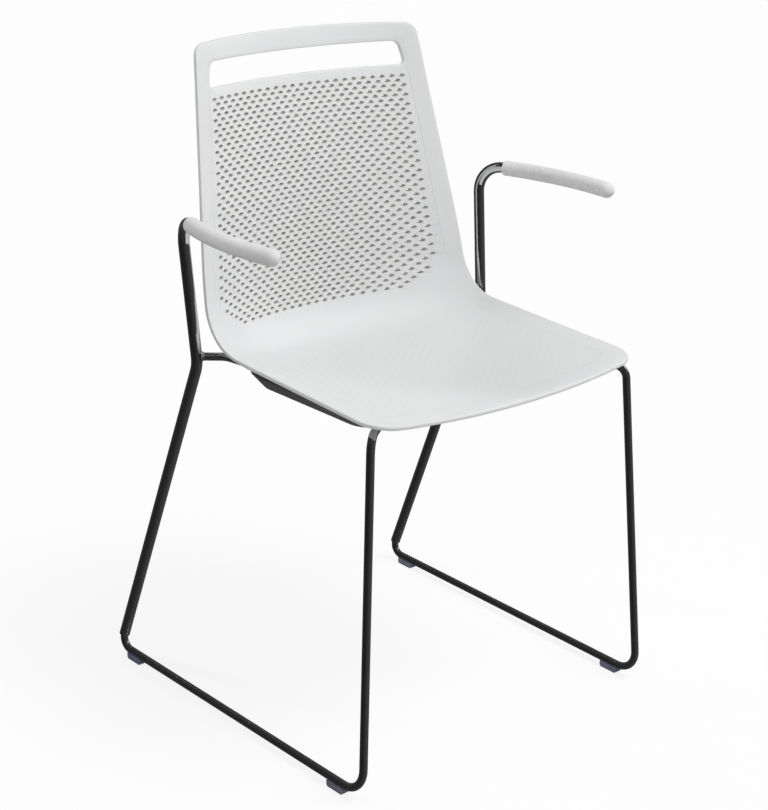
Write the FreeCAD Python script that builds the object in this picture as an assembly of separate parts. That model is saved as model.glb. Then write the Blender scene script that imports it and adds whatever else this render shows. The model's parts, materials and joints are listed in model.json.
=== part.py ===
import FreeCAD, Part
import math
import os

V = FreeCAD.Vector
UP = V(0, 0, 1)

# Sled base visitor chair, millimetres. +Z is up, the sitter looks along -Y,
# the floor is z = 0 and x = 0 is the middle plane of the chair.
# Left and right are the sitter's own: the left side is +X.

# Bent steel base: a thin floor rod and a thicker arm tube on each side.
ROD_D = 10.0
TUBE_D = 14.0
TUBE_WALL = 1.85
SPIGOT_LENGTH = 30.0
GLIDE_UNDER_ROD = 6.0
RUNNER_FRONT_Y = -250.0
RUNNER_REAR_Y = 250.0
RUNNER_FRONT_X = 237.0
RUNNER_REAR_X = 243.5
FRONT_TOP_X = 209.0
FRONT_TOP_Y = -222.5
FRONT_TOP_Z = 444.0
FRONT_FLOOR_BEND_R = 32.0
REAR_FLOOR_BEND_R = 14.0
FRONT_TOP_BEND_R = 20.0

# Under the seat the rod runs back along each side and up to the arm tube.
SIDE_RUN_X = 150.0
SIDE_RUN_FRONT_Y = -176.5
SIDE_RUN_FRONT_Z = 440.0
SIDE_RUN_REAR_Y = 20.0
SIDE_RUN_REAR_Z = 441.5
SIDE_RUN_BEND_R = 25.0
REAR_KNEE_X = 205.0
REAR_KNEE_Y = 52.0
REAR_KNEE_Z = 466.0
REAR_KNEE_R = 40.0
REAR_END_Z = 468.0

# Rear leg, post and arm are one tube that bends at the junction and the arm.
JUNCTION_X = 236.0
JUNCTION_Y = 69.0
JUNCTION_Z = 458.0
JUNCTION_BEND_R = 40.0
ARM_CORNER_X = 242.0
ARM_CORNER_Y = 88.0
ARM_CORNER_Z = 637.5
ARM_BEND_R = 33.0
ARM_SPLAY = 18.0
ARM_SWEEP_R = 383.0
ARM_TIP_Y = -131.0

# Crossbars between the side runs: sloped ends and a level middle.
FRONT_BAR_Y = -150.0
FRONT_BAR_Z = 431.5
REAR_BAR_Y = -5.0
REAR_BAR_Z = 427.6
BAR_LEVEL_HALF = 118.0
BAR_BEND_R = 30.0

# One-piece moulded shell: middle profile and side edge, both in side view.
SHELL_T = 5.5
SHELL_TOP_Z = 828.0
BACK_TOP_Y = 181.0
BACK_RECLINE = 11.8
BACK_STRAIGHT = 86.0
BACK_ARC_R = 1000.0
LUMBAR_STRAIGHT = 59.0
WAIST_R = 45.0
SEAT_SLOPE = 2.8
SEAT_LENGTH = 337.0
EDGE_TOP_Y = 147.0
EDGE_RECLINE = 12.35
EDGE_BACK = 311.0
EDGE_WAIST_R = 66.0
EDGE_SEAT_SLOPE = 3.0
EDGE_SEAT_LENGTH = 273.0
LIP_R = 120.0
LIP_TURN = 8.0
EDGE_LAG = 106.0
LAG_START = 330.0
LAG_END = 560.0
SEAT_HALF_WIDTH = 213.5
TOP_HALF_WIDTH = 175.0
SIDE_TAPER = 7.1
WRAP_POWER = 2.2
TOP_CUT = 2.6
TOP_CORNER_R = 15.0
TOP_BOW = 2.0
FRONT_CORNER_R = 34.0
FRONT_EDGE_Y = -256.0
FRONT_BOW = 19.0
BLANK_EXTRA = 24.0
SPARE_RUN = 10.0
GRID_ROWS = 24
GRID_SIDES = 8

# Handle slot under the top edge.
SLOT_FROM_TOP = 26.5
SLOT_HEIGHT = 31.0
SLOT_HALF_TOP = 150.0
SLOT_HALF_BOTTOM = 157.5
SLOT_CORNER_R = 8.0

# Perforated back: rows of oval holes that draw in towards the waist.
# The solid carries every second hole of every second row.
HOLE_ROWS = 46
FULL_ROWS = 40
HOLE_STEP = 2
FIRST_ROW = 71.5
ROW_PITCH = 6.32
HALF_PITCH = 6.85
ROW_HALF_COUNT = 22
ROW_SPREAD = 0.16
HOLE_LONG = 8.4
HOLE_HIGH = 4.3
HOLE_SHOULDER = 0.55

# Seat rails, bosses and screws under the seat.
RAIL_X = 95.0
RAIL_W = 22.0
RAIL_T = 4.0
RAIL_OVERHANG = 14.0
BOSS_D = 18.0
BOSS_DEPTH = 7.0
SCREW_D = 6.0
SCREW_HEAD_D = 12.0
SCREW_HEAD_H = 3.5
WASHER_D = 15.0
WASHER_T = 1.2
SCREW_FRONT_Y = -125.0
SCREW_REAR_Y = -26.0

# Cover tray below the seat.
COVER_HALF_W = 160.0
COVER_FRONT_Y = -158.0
COVER_REAR_Y = 55.0
COVER_FLOOR_Z = 419.0
COVER_TOP_Z = 434.6
COVER_SIDE_FLARE = 7.0
COVER_REAR_FLARE = 22.0
COVER_FRONT_FLARE = 4.0
COVER_T = 2.0
COVER_CORNER_R = 34.0
COVER_EDGE_R = 9.0
COVER_GAP = 0.4
COVER_POST_D = 12.0
COVER_SCREW_D = 4.0
COVER_SCREW_HEAD_D = 8.0
COVER_SCREW_HEAD_H = 2.5
COVER_SCREW_FRONT_Y = -105.0
COVER_SCREW_REAR_Y = -46.0

# Armrest sleeves.
SLEEVE_D = 20.2
SLEEVE_FIT = 0.3
SLEEVE_NOSE = 2.0
SLEEVE_START = 4.0
PLUG_LENGTH = 16.0

# Floor glides.
GLIDE_L = 29.0
GLIDE_W = 11.0
GLIDE_H = 8.5
GLIDE_CHAMFER = 2.0
PEG_D = 4.0
PEG_H = 4.0
GLIDE_FRONT_GAP = 31.0
GLIDE_REAR_GAP = 21.0
ROD_FIT = 0.15

# A butt or seat joint between two steel pieces keeps this much air.
SEAT_GAP = 0.1
BEAD_SIZE = 3.0
BEAD_RUN = 4.5

# Moves every piece so that the middle of the chair's box comes to y = 0.
CENTRE_SHIFT_Y = 3.66

ROD_Z = GLIDE_UNDER_ROD + ROD_D / 2


class Profile:
    """A side-view path of straight runs and arcs, read by its length."""

    def __init__(self, y, z, heading):
        self.y, self.z, self.heading = y, z, math.radians(heading)
        self.runs = []
        self.length = 0.0

    def straight(self, run):
        self.runs.append((self.length, self.y, self.z, self.heading, None))
        self.y += run * math.cos(self.heading)
        self.z += run * math.sin(self.heading)
        self.length += run
        return self

    def arc(self, radius, turn):
        """A positive turn goes anticlockwise with +Y to the right."""
        side = math.copysign(1.0, turn)
        self.runs.append((self.length, self.y, self.z, self.heading, side * radius))
        swept = math.radians(abs(turn)) * side
        cy = self.y - side * radius * math.sin(self.heading)
        cz = self.z + side * radius * math.cos(self.heading)
        self.heading += swept
        self.y = cy + side * radius * math.sin(self.heading)
        self.z = cz - side * radius * math.cos(self.heading)
        self.length += radius * abs(swept)
        return self

    def at(self, length):
        run = self.runs[0]
        for candidate in self.runs:
            if candidate[0] <= length:
                run = candidate
        start, y, z, heading, radius = run
        along = length - start
        if radius is None:
            return y + along * math.cos(heading), z + along * math.sin(heading)
        end = heading + along / radius
        cy = y - radius * math.sin(heading)
        cz = z + radius * math.cos(heading)
        return cy + radius * math.sin(end), cz - radius * math.cos(end)


def middle_profile():
    """Sitting face in the middle plane, from the top edge to the front."""
    path = Profile(BACK_TOP_Y, SHELL_TOP_Z, -90 - BACK_RECLINE)
    path.straight(BACK_STRAIGHT)
    path.arc(BACK_ARC_R, BACK_RECLINE)
    path.straight(LUMBAR_STRAIGHT)
    path.arc(WAIST_R, -90 - SEAT_SLOPE)
    path.straight(SEAT_LENGTH)
    path.arc(LIP_R, LIP_TURN)
    path.straight(SPARE_RUN)
    return path


def edge_profile():
    """Side edge of the sitting face, from the top corner to the front."""
    path = Profile(EDGE_TOP_Y, SHELL_TOP_Z, -90 - EDGE_RECLINE)
    path.straight(EDGE_BACK)
    path.arc(EDGE_WAIST_R, -(90 - EDGE_RECLINE - EDGE_SEAT_SLOPE))
    path.straight(EDGE_SEAT_LENGTH)
    path.arc(LIP_R, LIP_TURN)
    path.straight(SPARE_RUN)
    return path


MIDDLE = middle_profile()
EDGE = edge_profile()


def edge_length(length):
    """The side edge falls behind the middle on its way round the waist."""
    t = min(1.0, max(0.0, (length - LAG_START) / (LAG_END - LAG_START)))
    return length - EDGE_LAG * t * t * (3 - 2 * t)


def half_width(length):
    """Half the shell's width: a straight taper that dies out at the waist."""
    taper = math.tan(math.radians(SIDE_TAPER))
    run = (SEAT_HALF_WIDTH - TOP_HALF_WIDTH) / taper
    blend = 60.0
    if length < run - blend:
        return TOP_HALF_WIDTH + taper * length
    if length > run + blend:
        return SEAT_HALF_WIDTH
    left = run + blend - length
    return SEAT_HALF_WIDTH - taper * left * left / (4 * blend)


def sitting_point(length, side):
    """Point of the sitting face; side runs from -1 to 1 across the shell."""
    my, mz = MIDDLE.at(length)
    ey, ez = EDGE.at(edge_length(length))
    wrap = abs(side) ** WRAP_POWER
    x = half_width(edge_length(length)) * side
    return V(x, my + (ey - my) * wrap, mz + (ez - mz) * wrap)


def row_direction(length):
    """Unit vector from the middle to the edge of one row, across the wall."""
    my, mz = MIDDLE.at(length)
    ey, ez = EDGE.at(edge_length(length))
    return V(0, ey - my, ez - mz).normalize()


def wall_point(length, side, depth):
    """Point at a depth below the sitting face, square to the wall."""
    face = sitting_point(length, side)
    my, mz = MIDDLE.at(length)
    ey, ez = EDGE.at(edge_length(length))
    rise = math.hypot(ey - my, ez - mz)
    width = half_width(edge_length(length))
    slope = WRAP_POWER * rise * abs(side) ** (WRAP_POWER - 1) / width
    return face - row_direction(length) * (depth * math.hypot(1, slope))


def wall_face(depth):
    """Smooth face of the shell at a depth, through an even grid of points."""
    sides = [-1 + 2 * i / GRID_SIDES for i in range(GRID_SIDES + 1)]
    run = MIDDLE.length + 2 * BLANK_EXTRA
    lengths = [-BLANK_EXTRA + run * i / GRID_ROWS for i in range(GRID_ROWS + 1)]
    surface = Part.BSplineSurface()
    surface.interpolate([[wall_point(length, side, depth) for side in sides] for length in lengths])
    return surface.toShape()


def shell_blank(depth_top, depth_bottom):
    """Solid between two depths of the shell, before its edges are trimmed."""
    top, bottom = wall_face(depth_top), wall_face(depth_bottom)
    faces = [top, bottom]
    for upper, lower in zip(top.Edges, bottom.Edges):
        faces.append(Part.makeRuledSurface(upper, lower))
    shell = Part.makeShell(faces).copy()
    shell.sewShape()
    solid = Part.Solid(shell)
    if solid.Volume < 0:
        solid.reverse()
    return solid


def rounded_outline(corners, radii, place):
    """Closed wire through corners with a fillet at each; place maps 2D."""
    points = []
    count = len(corners)
    for i in range(count):
        x0, y0 = corners[i - 1]
        x1, y1 = corners[i]
        x2, y2 = corners[(i + 1) % count]
        a = math.hypot(x0 - x1, y0 - y1)
        b = math.hypot(x2 - x1, y2 - y1)
        ux, uy = (x0 - x1) / a, (y0 - y1) / a
        vx, vy = (x2 - x1) / b, (y2 - y1) / b
        inside = math.acos(max(-1.0, min(1.0, ux * vx + uy * vy)))
        cut = radii[i] / math.tan(inside / 2)
        bx, by = ux + vx, uy + vy
        size = math.hypot(bx, by)
        reach = radii[i] / math.sin(inside / 2) - radii[i]
        points.append((
            (x1 + ux * cut, y1 + uy * cut),
            (x1 + bx / size * reach, y1 + by / size * reach),
            (x1 + vx * cut, y1 + vy * cut),
        ))
    edges = []
    for i in range(count):
        start, mid, stop = (place(*p) for p in points[i])
        edges.append(Part.Arc(start, mid, stop).toShape())
        edges.append(Part.makeLine(stop, place(*points[(i + 1) % count][0])))
    return Part.Wire(edges)


def top_trim():
    """What the shell keeps near its top: a front view with round corners."""
    top = SHELL_TOP_Z - TOP_CUT
    low = top - 200.0
    width = TOP_HALF_WIDTH + 0.5
    grow = 200.0 * math.tan(math.radians(SIDE_TAPER)) + 6.0
    r = TOP_CORNER_R
    left = Part.Arc(
        V(-width, 0, top - r),
        V(-width + r * 0.293, 0, top - r * 0.293),
        V(-width + r, 0, top),
    ).toShape()
    crown = Part.Arc(V(-width + r, 0, top), V(0, 0, top + TOP_BOW), V(width - r, 0, top)).toShape()
    right = Part.Arc(
        V(width - r, 0, top),
        V(width - r * 0.293, 0, top - r * 0.293),
        V(width, 0, top - r),
    ).toShape()
    sides = [
        Part.makeLine(V(width, 0, top - r), V(width + grow, 0, low)),
        Part.makeLine(V(width + grow, 0, low), V(width + grow + 40, 0, 0)),
        Part.makeLine(V(width + grow + 40, 0, 0), V(-width - grow - 40, 0, 0)),
        Part.makeLine(V(-width - grow - 40, 0, 0), V(-width - grow, 0, low)),
        Part.makeLine(V(-width - grow, 0, low), V(-width, 0, top - r)),
    ]
    face = Part.Face(Part.Wire([left, crown, right] + sides))
    face.translate(V(0, -500, 0))
    return face.extrude(V(0, 1000, 0))


def front_trim():
    """What the shell keeps near its front: a plan view with a bowed edge."""
    width = SEAT_HALF_WIDTH + 1.0
    side_y = FRONT_EDGE_Y + FRONT_BOW
    radius = (width * width + FRONT_BOW * FRONT_BOW) / (2 * FRONT_BOW)
    r = FRONT_CORNER_R
    bow_x = width - r
    bow_y = FRONT_EDGE_Y + radius - math.sqrt(radius * radius - bow_x * bow_x)
    corner = V(width - r * 0.3, side_y + r * 0.24, 0)
    right = Part.Arc(V(bow_x, bow_y, 0), corner, V(width, side_y + r, 0)).toShape()
    left = Part.Arc(V(-width, side_y + r, 0), V(-corner.x, corner.y, 0), V(-bow_x, bow_y, 0)).toShape()
    front = Part.Arc(V(-bow_x, bow_y, 0), V(0, FRONT_EDGE_Y, 0), V(bow_x, bow_y, 0)).toShape()
    back = [
        Part.makeLine(V(width, side_y + r, 0), V(width + 2, 400, 0)),
        Part.makeLine(V(width + 2, 400, 0), V(-width - 2, 400, 0)),
        Part.makeLine(V(-width - 2, 400, 0), V(-width, side_y + r, 0)),
    ]
    face = Part.Face(Part.Wire([left, front, right] + back))
    return face.extrude(V(0, 0, 1000))


def handle_slot():
    """Prism through the back for the hand slot."""
    recline = math.cos(math.radians(BACK_RECLINE))
    top = SHELL_TOP_Z - SLOT_FROM_TOP * recline
    bottom = top - SLOT_HEIGHT * recline
    corners = [
        (-SLOT_HALF_TOP, top), (SLOT_HALF_TOP, top),
        (SLOT_HALF_BOTTOM, bottom), (-SLOT_HALF_BOTTOM, bottom),
    ]
    wire = rounded_outline(corners, [SLOT_CORNER_R] * 4, lambda x, z: V(x, 0, z))
    return Part.Face(wire).extrude(V(0, 400, 0))


def row_reach(row):
    """Outermost hole of a row, counted in half pitches from the middle."""
    if row < FULL_ROWS:
        return ROW_HALF_COUNT - row % 2
    return min(ROW_HALF_COUNT - 1 - (row - FULL_ROWS - 1), ROW_HALF_COUNT - 2 + row % 2)


def hole_places():
    """Centres of the holes as places across and along the shell."""
    places = []
    for row in range(0, HOLE_ROWS, HOLE_STEP):
        reach = row_reach(row)
        for count in range(-reach, reach + 1, 2 * HOLE_STEP):
            spread = 1 + ROW_SPREAD * (count / ROW_HALF_COUNT) ** 2 * row / 38
            places.append((HALF_PITCH * count * spread, FIRST_ROW + ROW_PITCH * row))
    return places


def hole_cutter(x, length):
    """Six-sided oval prism, square to the wall at one hole."""
    side = x / half_width(edge_length(length))
    start = wall_point(length, side, -2.0)
    end = wall_point(length, side, SHELL_T + 2.0)
    through = end - start
    across = (wall_point(length, side + 0.01, 0) - wall_point(length, side - 0.01, 0)).normalize()
    along = through.cross(across).normalize()
    end_x, high, shoulder = HOLE_LONG / 2, HOLE_HIGH / 2, HOLE_LONG / 2 * HOLE_SHOULDER
    half = [(end_x, 0), (shoulder, high), (-shoulder, high)]
    points = [start + across * a + along * b for a, b in half]
    points += [start - across * a - along * b for a, b in half]
    return Part.Face(Part.makePolygon(points + [points[0]])).extrude(through)


def seat_underside_z(x, y):
    """Height of the shell's underside over a point of the seat floor."""
    low, high = LAG_END - 60, MIDDLE.length + BLANK_EXTRA
    side = x / SEAT_HALF_WIDTH
    for _ in range(40):
        mid = (low + high) / 2
        if wall_point(mid, side, SHELL_T).y > y:
            low = mid
        else:
            high = mid
    return wall_point(low, side, SHELL_T).z


def rail_top():
    """Start, run and normal of the rails' upper face in side view."""
    lift = ROD_D / 2 + SEAT_GAP + RAIL_T
    front = V(0, FRONT_BAR_Y, FRONT_BAR_Z)
    rear = V(0, REAR_BAR_Y, REAR_BAR_Z)
    along = (rear - front).normalize()
    normal = V(0, -along.z, along.y)
    return front + normal * lift, along, normal, (rear - front).Length


def rail_frame(x, y):
    """Point of the rail's upper face over a given y, with its normal."""
    start, along, normal, _ = rail_top()
    point = start + along * ((y - start.y) / along.y)
    return V(x, point.y, point.z), normal


def screw_places():
    return [(side * RAIL_X, y) for y in (SCREW_FRONT_Y, SCREW_REAR_Y) for side in (-1, 1)]


def screw_bore(x, y):
    point, normal = rail_frame(x, y)
    return Part.makeCylinder(SCREW_D / 2, BOSS_DEPTH, point, normal)


def screw_boss(x, y):
    """Moulded foot of the shell that stands on a rail."""
    point, normal = rail_frame(x, y)
    foot = point + normal * SEAT_GAP
    height = seat_underside_z(x, y) + SHELL_T / 2 - foot.z
    return Part.makeCylinder(BOSS_D / 2, height, foot, normal)


def seat_shell():
    body = shell_blank(0.0, SHELL_T)
    body = body.common(top_trim()).common(front_trim())
    body = body.cut(handle_slot())
    body = body.cut(Part.makeCompound([hole_cutter(x, length) for x, length in hole_places()]))
    body = body.fuse([screw_boss(x, y) for x, y in screw_places()])
    return body.cut([screw_bore(x, y) for x, y in screw_places()])


# Steel parts

def fillet_corner(before, corner, after, radius):
    """Tangent points and mid point of a round bend at a corner."""
    a = (before - corner).normalize()
    b = (after - corner).normalize()
    inside = a.getAngle(b)
    cut = radius / math.tan(inside / 2)
    middle = (a + b).normalize()
    reach = radius / math.sin(inside / 2) - radius
    return corner + a * cut, corner + middle * reach, corner + b * cut


def bent_path(points, radii):
    """Edges through the points with a round bend at each inner point."""
    edges = []
    start = points[0]
    for i in range(1, len(points) - 1):
        t0, mid, t1 = fillet_corner(points[i - 1], points[i], points[i + 1], radii[i - 1])
        edges.append(Part.makeLine(start, t0))
        edges.append(Part.Arc(t0, mid, t1).toShape())
        start = t1
    edges.append(Part.makeLine(start, points[-1]))
    return edges


def sweep_round(edges, diameter):
    """Round bar along edges that follow on from each other."""
    wire = Part.Wire(edges)
    first = edges[0]
    origin = first.valueAt(first.FirstParameter)
    tangent = first.tangentAt(first.FirstParameter)
    circle = Part.Wire(Part.makeCircle(diameter / 2, origin, tangent))
    return wire.makePipeShell([circle], True, False)


def mirrored(shape, side):
    """The pieces are drawn for +X; the other hand is their mirror image."""
    if side > 0:
        return shape
    return shape.mirror(V(0, 0, 0), V(1, 0, 0))


RUNNER_FRONT = V(RUNNER_FRONT_X, RUNNER_FRONT_Y, ROD_Z)
RUNNER_REAR = V(RUNNER_REAR_X, RUNNER_REAR_Y, ROD_Z)
FRONT_TOP = V(FRONT_TOP_X, FRONT_TOP_Y, FRONT_TOP_Z)
JUNCTION = V(JUNCTION_X, JUNCTION_Y, JUNCTION_Z)
ARM_CORNER = V(ARM_CORNER_X, ARM_CORNER_Y, ARM_CORNER_Z)


def rear_joint():
    """Where the arm tube ends on the floor rod, at the start of its bend."""
    start, _, _ = fillet_corner(JUNCTION, RUNNER_REAR, RUNNER_FRONT, REAR_FLOOR_BEND_R)
    return start


def side_run():
    """Front and rear corner of the rod's run along the side of the seat."""
    front = V(SIDE_RUN_X, SIDE_RUN_FRONT_Y, SIDE_RUN_FRONT_Z)
    rear = V(SIDE_RUN_X, SIDE_RUN_REAR_Y, SIDE_RUN_REAR_Z)
    return front, rear


def side_run_point(y):
    front, rear = side_run()
    return front + (rear - front) * ((y - front.y) / (rear.y - front.y))


def rear_end():
    """Where the rod's upper end meets the middle line of the arm tube."""
    share = (REAR_END_Z - JUNCTION_Z) / (ARM_CORNER_Z - JUNCTION_Z)
    return JUNCTION + (ARM_CORNER - JUNCTION) * share


def leg_direction():
    return (JUNCTION - RUNNER_REAR).normalize()


def floor_places():
    """Glide centres on the runner, front first."""
    along = (RUNNER_REAR - RUNNER_FRONT).normalize()
    front = RUNNER_FRONT + along * (GLIDE_FRONT_GAP + GLIDE_L / 2)
    rear = RUNNER_REAR - along * (GLIDE_REAR_GAP + GLIDE_L / 2)
    return front, rear


def sled_rod_edges():
    """Spigot, runner, floor bends, front leg and the run under the seat."""
    spigot = rear_joint() + leg_direction() * SPIGOT_LENGTH
    front, rear = side_run()
    knee = V(REAR_KNEE_X, REAR_KNEE_Y, REAR_KNEE_Z)
    points = [spigot, RUNNER_REAR, RUNNER_FRONT, FRONT_TOP, front, rear, knee, rear_end()]
    radii = [
        REAR_FLOOR_BEND_R, FRONT_FLOOR_BEND_R, FRONT_TOP_BEND_R,
        SIDE_RUN_BEND_R, SIDE_RUN_BEND_R, REAR_KNEE_R,
    ]
    return bent_path(points, radii)


def sled_rod():
    """The bent rod, coped to the arm tube and drilled for the glides."""
    body = sweep_round(sled_rod_edges(), ROD_D)
    cope = sweep_round(arm_tube_edges()[1:3], TUBE_D + 2 * SEAT_GAP)
    whole = body.cut(cope)
    body = max(whole.Solids, key=lambda solid: solid.Volume)
    for place in floor_places():
        start = V(place.x, place.y, ROD_Z - ROD_D / 2)
        body = body.cut(Part.makeCylinder(PEG_D / 2 + ROD_FIT, PEG_H + 1, start, UP))
    return body


def arm_tube_edges():
    """Rear leg, post, arm bend and the arm's long sweep in plan."""
    splay = math.radians(ARM_SPLAY)
    heading = V(math.sin(splay), -math.cos(splay), 0)
    points = [rear_joint(), JUNCTION, ARM_CORNER, ARM_CORNER + heading * 60]
    edges = bent_path(points, [JUNCTION_BEND_R, ARM_BEND_R])[:-1]
    start = edges[-1].valueAt(edges[-1].LastParameter)
    inward = V(-math.cos(splay), -math.sin(splay), 0)
    centre = start + inward * ARM_SWEEP_R
    tube_end_y = ARM_TIP_Y + SLEEVE_D / 2 + SLEEVE_NOSE
    tip_angle = math.asin((centre.y - tube_end_y) / ARM_SWEEP_R)
    mid_angle = (tip_angle - splay_angle()) / 2

    def on_sweep(angle):
        return centre + V(math.cos(angle), -math.sin(angle), 0) * ARM_SWEEP_R

    sweep = Part.Arc(start, on_sweep(mid_angle), on_sweep(tip_angle)).toShape()
    return edges + [sweep]


def splay_angle():
    return math.radians(ARM_SPLAY)


def arm_tube():
    """Hollow tube: its lower end slips over the floor rod's spigot."""
    edges = arm_tube_edges()
    return sweep_round(edges, TUBE_D).cut(sweep_round(edges, TUBE_D - 2 * TUBE_WALL))


def arm_plug():
    """Plastic stopper in the open end of the arm tube."""
    sweep = arm_tube_edges()[-1]
    end = sweep.valueAt(sweep.LastParameter)
    inward = sweep.tangentAt(sweep.LastParameter) * -1
    bore = TUBE_D / 2 - TUBE_WALL - ROD_FIT
    stem = Part.makeCylinder(bore, PLUG_LENGTH, end, inward)
    cap = Part.makeCylinder(TUBE_D / 2, SEAT_GAP + 1.5, end - inward * (SEAT_GAP + 1.5), inward)
    flange = cap.cut(Part.makeCylinder(TUBE_D, SEAT_GAP, end - inward * SEAT_GAP, inward))
    return stem.fuse(Part.makeCylinder(bore, SEAT_GAP, end - inward * SEAT_GAP, inward)).fuse(flange)


def arm_sleeve():
    """Soft grip over the arm: bored for the tube, with a domed front end."""
    sweep = arm_tube_edges()[-1]
    first, last = sweep.FirstParameter, sweep.LastParameter
    outer = sweep_round([sweep], SLEEVE_D)
    end = sweep.valueAt(last)
    forward = sweep.tangentAt(last)
    nose = Part.makeCylinder(SLEEVE_D / 2, SLEEVE_NOSE, end, forward)
    dome = Part.makeSphere(SLEEVE_D / 2, end + forward * SLEEVE_NOSE)
    outer = outer.fuse([nose, dome]).removeSplitter()
    bore = sweep_round([sweep], TUBE_D + 2 * SLEEVE_FIT)
    room = Part.makeCylinder(TUBE_D / 2 + SLEEVE_FIT, SLEEVE_NOSE, end, forward)
    back = sweep.valueAt(first)
    tangent = sweep.tangentAt(first)
    mouth = Part.makeCylinder(SLEEVE_D, SLEEVE_START, back, tangent)
    return outer.cut([bore, room, mouth])


def crossbar(y, z):
    """Dished rod between the two side runs, coped to both."""
    end = side_run_point(y)
    level = V(BAR_LEVEL_HALF, y, z)
    points = [end, level, V(-level.x, level.y, level.z), V(-end.x, end.y, end.z)]
    bar = sweep_round(bent_path(points, [BAR_BEND_R, BAR_BEND_R]), ROD_D)
    front, rear = side_run()
    cope = sweep_round([Part.makeLine(front, rear)], ROD_D + 2 * SEAT_GAP)
    whole = bar.cut([cope, mirrored(cope, -1)])
    return max(whole.Solids, key=lambda solid: solid.Volume)


def seat_rail(side):
    """Flat bar on top of both crossbars, drilled for the seat screws."""
    start, along, normal, run = rail_top()
    corner = start - along * RAIL_OVERHANG - normal * RAIL_T
    corner = corner + V(side * RAIL_X - RAIL_W / 2, 0, 0)
    length = run + 2 * RAIL_OVERHANG
    outline = [
        corner, corner + V(RAIL_W, 0, 0),
        corner + V(RAIL_W, 0, 0) + along * length, corner + along * length,
    ]
    bar = Part.Face(Part.makePolygon(outline + [corner])).extrude(normal * RAIL_T)
    ends = [e for e in bar.Edges if abs(abs(e.tangentAt(0).dot(normal)) - 1) < 1e-6]
    bar = bar.makeFillet(RAIL_W / 2 - 1, ends)
    drills = []
    for x, y in screw_places():
        if x * side > 0:
            point, _ = rail_frame(x, y)
            start = point - normal * RAIL_T * 2
            drills.append(Part.makeCylinder(SCREW_D / 2 + 0.4, RAIL_T * 3, start, normal))
    for x, y in cover_screw_places():
        if x * side > 0:
            point, _ = rail_frame(x, y)
            start = point - normal * RAIL_T * 2
            drills.append(Part.makeCylinder(COVER_SCREW_D / 2 + 0.1, RAIL_T * 3, start, normal))
    return bar.cut(drills)


def seat_screw(x, y):
    """Pan head screw up through washer and rail into the shell's foot."""
    point, normal = rail_frame(x, y)
    under = point - normal * (RAIL_T + SEAT_GAP + WASHER_T + SEAT_GAP)
    grip = RAIL_T + 2 * SEAT_GAP + WASHER_T + BOSS_DEPTH - 0.5
    shank = Part.makeCylinder(SCREW_D / 2 - ROD_FIT, grip, under, normal)
    head = Part.makeCylinder(SCREW_HEAD_D / 2, SCREW_HEAD_H, under - normal * SCREW_HEAD_H, normal)
    screw = shank.fuse(head)
    rim = [e for e in screw.Edges if e.Curve.TypeId == "Part::GeomCircle"
           and abs(e.Curve.Radius - SCREW_HEAD_D / 2) < 0.01
           and (e.Curve.Center - under).Length > SCREW_HEAD_H * 0.9]
    return screw.makeFillet(1.2, rim)


def seat_washer(x, y):
    point, normal = rail_frame(x, y)
    under = point - normal * (RAIL_T + SEAT_GAP + WASHER_T)
    disc = Part.makeCylinder(WASHER_D / 2, WASHER_T, under, normal)
    return disc.cut(Part.makeCylinder(SCREW_D / 2 + 0.4, WASHER_T, under, normal))


# Cover

def cover_screw_places():
    return [(side * RAIL_X, y) for y in (COVER_SCREW_FRONT_Y, COVER_SCREW_REAR_Y) for side in (-1, 1)]


def cover_outline(z, flare, inset):
    """Rounded plan outline of the cover at a height, flared outward."""
    half = COVER_HALF_W + COVER_SIDE_FLARE * flare - inset
    front = COVER_FRONT_Y - COVER_FRONT_FLARE * flare + inset
    rear = COVER_REAR_Y + COVER_REAR_FLARE * flare - inset
    corners = [(-half, front), (half, front), (half, rear), (-half, rear)]
    return rounded_outline(corners, [COVER_CORNER_R - inset] * 4, lambda x, y: V(x, y, z))


def cover_block(inset):
    """Tray with flared sides; inset draws it in by a wall."""
    floor = COVER_FLOOR_Z + inset
    share = inset / (COVER_TOP_Z - COVER_FLOOR_Z)
    wires = [cover_outline(floor, share, inset), cover_outline(COVER_TOP_Z, 1.0, inset)]
    block = Part.makeLoft(wires, True, True)
    low = [e for e in block.Edges
           if abs(e.BoundBox.ZMax - floor) < 0.01 and abs(e.BoundBox.ZMin - floor) < 0.01]
    return block.makeFillet(COVER_EDGE_R - inset, low)


def cover_post(x, y):
    """Post of the cover that meets a rail from below."""
    point, normal = rail_frame(x, y)
    head = point - normal * (RAIL_T + SEAT_GAP)
    return Part.makeCylinder(COVER_POST_D / 2, head.z - COVER_FLOOR_Z - COVER_T / 2, head, normal * -1)


def under_seat_cover():
    """Shallow tray with four posts; its rim stays clear of shell and steel."""
    tray = cover_block(0).cut(cover_block(COVER_T))
    tray = tray.cut(shell_blank(-25.0, SHELL_T + COVER_GAP))
    tray = tray.fuse([cover_post(x, y) for x, y in cover_screw_places()])
    drills = []
    for x, y in cover_screw_places():
        point, normal = rail_frame(x, y)
        drills.append(Part.makeCylinder(COVER_SCREW_D / 2 + 0.1, 60, point, normal * -1))
    return tray.cut(drills)


def cover_screw(x, y):
    """Small screw up through the cover's post into the rail."""
    point, normal = rail_frame(x, y)
    drop = (point.z - COVER_FLOOR_Z + SEAT_GAP + 0.35) / normal.z
    shank = Part.makeCylinder(COVER_SCREW_D / 2, drop, point - normal * drop, normal)
    head_at = point - normal * (drop + COVER_SCREW_HEAD_H)
    return shank.fuse(Part.makeCylinder(COVER_SCREW_HEAD_D / 2, COVER_SCREW_HEAD_H, head_at, normal))


# Floor glides and welds

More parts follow.
